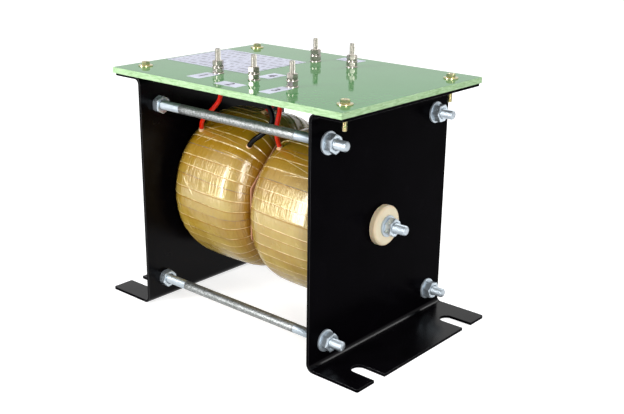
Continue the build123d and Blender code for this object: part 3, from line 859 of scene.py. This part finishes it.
def make_collar(number, lead):
    """A twist of clear tape that holds a lead where it leaves its coil."""
    chance = random.Random(40 + number)
    size = {"red": 1.0, "black": 0.3}[lead.colour]
    out = Vector(lead.way).normalized()
    along = Vector((1, 0, 0))
    at = round_axis(Vector(lead.leaves), out, (along - out * along.dot(out)).normalized())
    steps = ((1.5, -0.6), (0.9, 0.3), (0.5, 1.0), (0.3, 1.7), (0.25, 2.2), (0.1, 2.5), (-0.2, 2.2))
    folds = [chance.uniform(-1, 1) for fold in range(9)]
    segments = 36
    rows = []
    for reach, height in steps:
        row = []
        for i in range(segments):
            angle = tau * i / segments
            fold = sum(depth * cos((k + 2) * angle + depth * 9) for k, depth in enumerate(folds)) / 9
            spread = size * reach * (1 + 0.9 * fold) if reach > 0 else reach
            row.append(at(lead_radii[lead.colour] + spread * mm, angle, size * (height + 0.5 * fold) * mm))
        rows.append(row)
    shape = Shape()
    shape.grid(rows)
    buried = [[point - out * 1.2 * mm for point in row] for row in (rows[0], rows[-1])]
    shape.grid([rows[0], *buried, rows[-1]])
    shape.make(f"lead_{number}_collar", collar, angle=40)


# ---- fasteners ----
def rod_of(node):
    """A rod along X: the X of its right end, its Y and Z, and its radius."""
    low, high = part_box(node)
    return high.x, (low.y + high.y) / 2, (low.z + high.z) / 2, (high.z - low.z) / 2


def add_m10_threads(shape, end_x, y, z, radius, length):
    """The threads at both ends of a rod."""
    for side in (-1, 1):
        at = along_x(side * end_x, y, z, -side)
        add_thread(shape, at, radius, length, pitch=1.5 * mm, chamfer=1.2 * mm, fade_run=1.0 * mm)


def make_rods():
    thread_length = 60 * mm
    for node in (f"tie_rod_{y}_{z}" for y in ("front", "rear") for z in ("lower", "upper")):
        end_x, y, z, radius = rod_of(node)
        shank_x = end_x - thread_length
        run = 2 * shank_x
        core = radius - 0.9 * mm
        neck = radius - 0.25 * mm
        shoulder = 0.6 * mm
        profile = [(core, 0), (neck, 0), (radius, shoulder)]
        profile += [(radius, run * i / 20) for i in range(1, 20)]
        profile += [(radius, run - shoulder), (neck, run), (core, run)]
        shank = Shape()
        add_lathe(shank, along_x(-shank_x, y, z), profile, 40, ends=(0, -1))
        shank.make(f"{node}_shank", shank_zinc, (node,))
        threads = Shape()
        add_m10_threads(threads, end_x, y, z, radius - 0.1 * mm, thread_length + 0.4 * mm)
        threads.make(f"{node}_threads", zinc, (node,), angle=50)


unit = Matrix.Identity(3)  # its rows are the X, Y and Z axes


def nuts_of(group, axis_index, material, flats, bore):
    """Every nut of a group, each with the turn of its CAD nut."""
    axis, first = unit[axis_index], unit[(axis_index + 1) % 3]
    shape = Shape()
    for low, high, centre, points in solids_of(f"{group}_nuts"):
        origin = centre.copy()
        origin[axis_index] = low[axis_index]
        turn = corner_angle(points, centre, first, axis.cross(first))
        add_nut(shape, round_axis(origin, axis, first), flats, bore, high[axis_index] - low[axis_index], turn)
    shape.make(f"{group}_hex_nuts", material, (f"{group}_nuts",), angle=24)


def washers_of(group, axis_index, material, bore, rounding):
    """Every washer of a group, with its rolled edge outwards or upwards."""
    axis, first = unit[axis_index], unit[(axis_index + 1) % 3]
    shape = Shape()
    for low, high, origin, points in solids_of(f"{group}_washers"):
        outward = 1 if axis_index == 2 or origin.x > 0 else -1
        origin[axis_index] = low[axis_index] if outward > 0 else high[axis_index]
        at = round_axis(origin, axis * outward, first)
        add_washer(shape, at, bore, (high.y - low.y) / 2, high[axis_index] - low[axis_index], rounding)
    shape.make(f"{group}_round_washers", material, (f"{group}_washers",), angle=35)


def make_frame_fasteners():
    for group, bore in (("tie_rod_outer", 5.0 * mm), ("tie_rod_inner", 5.0 * mm), ("centre", 5.05 * mm)):
        nuts_of(group, 0, nut_zinc, flats=16.5 * mm, bore=bore)
    for group in ("tie_rod", "centre"):
        washers_of(group, 0, dull_zinc, bore=5.25 * mm, rounding=0.5 * mm)
    washers_of("board", 2, gold_zinc, bore=2.75 * mm, rounding=0.3 * mm)


def make_centre_bolt():
    end_x, y, z, radius = rod_of("centre_bolt")
    thread_length = 48 * mm
    shank_x = end_x - thread_length + 0.3 * mm
    shape = Shape()
    add_m10_threads(shape, end_x, y, z, radius, thread_length)
    profile = [(radius, 2 * shank_x * i / 12) for i in range(13)]
    add_lathe(shape, along_x(-shank_x, y, z), profile, 32, ends=(0, -1))
    shape.make("centre_bolt_threaded", zinc, ("centre_bolt",), angle=50)


def make_bushes():
    """Turned nylon bushes: a rounded flange with a faint step where the washer bears, and a spigot in the plate."""
    spigot, bore, sheet, depth, rounding = 12.0 * mm, 5.15 * mm, 3.0 * mm, 10.0 * mm, 2.5 * mm
    edge, step = 0.4 * mm, 0.05 * mm
    for name, side in (("left", -1), ("right", 1)):
        low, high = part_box(f"{name}_bush")
        radius = (high.z - low.z) / 2
        profile = [(bore, 0), (spigot - edge, 0), (spigot, edge), (spigot, sheet), (radius - edge, sheet)]
        profile += [(radius, sheet + edge), (radius, depth - rounding)]
        for i in range(1, 9):
            angle = pi / 2 * i / 8
            profile.append((radius - rounding * (1 - cos(angle)), depth - rounding * (1 - sin(angle))))
        profile += [(radius - 4.5 * mm, depth), (radius - 7.0 * mm, depth - step)]
        profile += [(bore + 0.5 * mm, depth - step), (bore, depth - 0.5 * mm)]
        shape = Shape()
        at = along_x(high.x if side < 0 else low.x, 0, coil_height, side)
        add_lathe(shape, at, profile, 96, closed=True)
        shape.make(f"{name}_bush_turned", cream, (f"{name}_bush",), angle=28)


def make_board_bolts():
    """Hexagon-head machine screws through the board into the ledges."""
    apothem, head_height, radius = 4.0 * mm, 3.5 * mm, 2.5 * mm
    thread = {"pitch": 0.8 * mm, "chamfer": 0.5 * mm, "fade_run": 0.8 * mm, "segments": 24}
    face = 0.94  # of the apothem: the round flat on top of the head
    turn = radians(30)
    shape = Shape()
    for low, high, centre, points in solids_of("board_bolts"):
        seat = high.z - head_height
        head = along_z(centre, seat)
        rows = [circle(head, radius, 0, hex_steps, turn), hexagon(head, apothem, 0, turn)]
        rows.append(hexagon(head, apothem, head_height, turn, corner_slope, face))
        for share, drop in ((face, 0.0), (0.6, 0.0), (0.5, 0.25 * mm)):
            rows.append(circle(head, share * apothem, head_height - drop, hex_steps, turn))
        shape.grid(rows, ends=(0, -1))
        shank = along_z(centre, low.z)
        add_thread(shape, shank, radius, seat - low.z + 0.2 * mm, **thread)
    shape.make("board_hex_bolts", gold_zinc, ("board_bolts",), angle=26)


def make_terminals():
    studs = Shape()
    for low, high, centre, points in solids_of("terminal_studs"):
        at = along_z(centre, high.z, -1)
        add_thread(studs, at, 2.95 * mm, high.z - low.z, pitch=1.0 * mm, chamfer=0.7 * mm, segments=24)
    studs.make("terminal_threaded_studs", stud_nickel, ("terminal_studs",), angle=50)
    split = Shape()
    inner = 3.25 * mm
    rise = 0.3 * mm  # from one end of a spring washer to the other
    gap = radians(6)  # half of the split
    steps = 40
    for index, (low, high, centre, points) in enumerate(solids_of("terminal_spring_washers")):
        at = along_z(centre, low.z)
        outer = (high.x - low.x) / 2
        thickness = high.z - low.z
        start = radians(20) + index
        rows = []
        for i in range(steps + 1):
            angle = start + gap + (tau - 2 * gap) * i / steps
            base = rise * i / steps
            top = base + thickness - rise
            rows.append([at(inner, angle, base), at(outer, angle, base), at(outer, angle, top), at(inner, angle, top)])
        split.grid(rows, ends=(0, -1))
    split.make("terminal_split_washers", nickel, ("terminal_spring_washers",))
    for kind in ("base", "top", "under"):
        nuts_of(f"terminal_{kind}", 2, nickel, flats=10.0 * mm, bore=2.7 * mm)
    for kind in ("board", "clamp"):
        washers_of(f"terminal_{kind}", 2, nickel, bore=3.2 * mm, rounding=0.3 * mm)


# ---- labels on the board ----
label_thickness = 0.12 * mm
number_thickness = 0.03 * mm
Label = namedtuple("Label", "name x y width depth number")  # one without a number is ruled
labels = [
    Label("rating", -0.0885, 0.004, 0.121, 0.092, ""),
    Label("terminal_1", -0.052, -0.078, 0.018, 0.028, "1"),
    Label("terminal_2", -0.001, -0.0905, 0.030, 0.0155, "2"),
    Label("terminal_3", 0.049, -0.0805, 0.0145, 0.032, "3"),
    Label("terminal_4", -0.001, -0.033, 0.017, 0.026, "4"),
    Label("terminal_5", -0.002, 0.0935, 0.030, 0.0165, "5"),
]


def make_label(label):
    """A film label with rounded corners, its edges lifted a little here and there."""
    x, y, half_x, half_y = label.x, label.y, label.width / 2, label.depth / 2
    corner = 1.2 * mm
    flat_x, flat_y = 0.96, 0.94  # of the film: inside that it lies flat
    outline = []
    for sx, sy, start in ((1, 1, 0), (-1, 1, 90), (-1, -1, 180), (1, -1, 270)):
        for i in range(5):
            angle = radians(start + 90 * i / 4)
            px = x + sx * (half_x - corner) + corner * cos(angle)
            outline.append((px, y + sy * (half_y - corner) + corner * sin(angle)))
    chance = random.Random(label.name)
    curl = [chance.uniform(0, 0.05) * mm for point in outline]
    top = board_top + label_thickness
    low = [Vector((px, py, board_top)) for px, py in outline]
    high = [Vector((px, py, top + lift)) for (px, py), lift in zip(outline, curl)]
    inner = [Vector((x + (px - x) * flat_x, y + (py - y) * flat_y, top)) for px, py in outline]
    shape = Shape()
    shape.grid([low, high, inner], ends=(0, -1))
    material = paper(f"label_film_{label.name}", not label.number, (x - half_x, y - half_y), label.depth)
    shape.make(f"label_{label.name}", material)
    if label.number:
        make_number(label, min(label.width, label.depth))


def make_number(label, room):
    curve = bpy.data.curves.new(f"number_{label.name}", "FONT")
    curve.body = label.number
    curve.size = 0.95 * room
    curve.align_x = curve.align_y = "CENTER"
    curve.extrude = number_thickness
    curve.offset = 0.25 * mm
    mesh = mesh_of(curve)
    mesh.transform(Matrix.Translation((label.x, label.y, board_top + label_thickness + number_thickness)))
    finish_piece(f"number_{label.name}", mesh, [label_ink])


# ---- the room ----
def make_world():
    world = bpy.data.worlds.new("studio")
    scene.world = world
    world.use_nodes = True
    g = Graph(world.node_tree)
    height = g.split(g.node("ShaderNodeTexCoord", output="Generated"), "Z")
    backdrop = g.mix(g.span(height, 0.5, 0.85, kind="SMOOTHSTEP"), (1.0, 1.0, 1.0), (0.3, 0.3, 0.3))
    sky = g.mix(g.seen(), (0.34, 0.34, 0.35), backdrop)
    g.feed(world.node_tree.nodes["Background"].inputs["Color"], sky)


def make_floor():
    """A pale floor: white where it is lit and far away, and a soft shadow under the object."""
    g = Finish("pale_floor")
    tone = g.mix(g.noise(g.place(), 3.0, 2.0), (0.62, 0.62, 0.62), (0.64, 0.64, 0.64))
    away = g.vector("LENGTH", g.place())
    glow = g.times(g.seen(), g.span(away, 0.6, 2.0, 0.7, 0.88))
    g.shade(tone, 0.9, specular=0.1, emission_color=(1.0, 1.0, 1.0), emission_strength=glow)
    half = 6.0
    mesh = bpy.data.meshes.new("floor")
    mesh.from_pydata([(-half, -half, 0), (half, -half, 0), (half, half, 0), (-half, half, 0)], [], [(0, 1, 2, 3)])
    mesh.materials.append(g.material)
    floor = added("floor", mesh)
    floor.location.z = -0.3 * mm


def softbox(name, azimuth, elevation, distance, width, height, watts):
    """A rectangular lamp that faces the coils. Azimuth 0 is in front (-Y), and 90 is to the right (+X)."""
    a, e = radians(azimuth), radians(elevation)
    way = Vector((sin(a) * cos(e), -cos(a) * cos(e), sin(e)))
    lamp = bpy.data.lights.new(name, "AREA")
    lamp.shape = "RECTANGLE"
    lamp.size, lamp.size_y = width, height
    lamp.energy = watts
    holder = added(name, lamp)
    holder.location = Vector((0, 0, coil_height)) + way * distance
    holder.rotation_euler = way.to_track_quat("Z", "Y").to_euler()


def make_lights():
    softbox("key_front_left", -27, 15, 1.7, 0.40, 1.25, 23)
    softbox("glow_front_left", -20, 12, 1.9, 1.1, 1.3, 4.2)
    softbox("key_right", 53, 20, 1.8, 0.40, 1.4, 19)
    softbox("top_fill", 15, 78, 1.9, 1.6, 1.6, 10)
    softbox("back_fill", 162, 44, 1.9, 0.9, 0.8, 14)


# ---- the whole ----
make_camera()
make_world()
make_floor()
make_lights()

label_ink = ink()
for name in ("left", "right"):
    dress(f"{name}_end_plate", f"{name}_plate_painted", [paint, paint_edge], 0.35 * mm)
    coil_tape(name, [(Vector(lead.leaves), Vector(lead.way).normalized()) for lead in leads if lead.coil == name])
    paint_node(f"{name}_coil_core", steel)
    paint_node(f"{name}_coil_winding", copper)
    paint_node(f"{name}_coil_hub", pressboard)
    paint_node(f"{name}_insulating_pad", pressboard)
paint_node("coil_separator", pressboard)
paint_node("centre_sleeve", pressboard)
dress("terminal_board", "terminal_board_sheet", [green], 0.3 * mm)
dress("cable_lugs", "cable_lugs_crimped", [tin], 0.15 * mm)
make_rods()
make_frame_fasteners()
make_centre_bolt()
make_bushes()
make_board_bolts()
make_terminals()
for number, (terminal, lead) in enumerate(zip(terminals, leads), start=1):
    make_lead(number, terminal, lead)
    make_collar(number, lead)
for label in labels:
    make_label(label)

scene.view_settings.view_transform = "Standard"
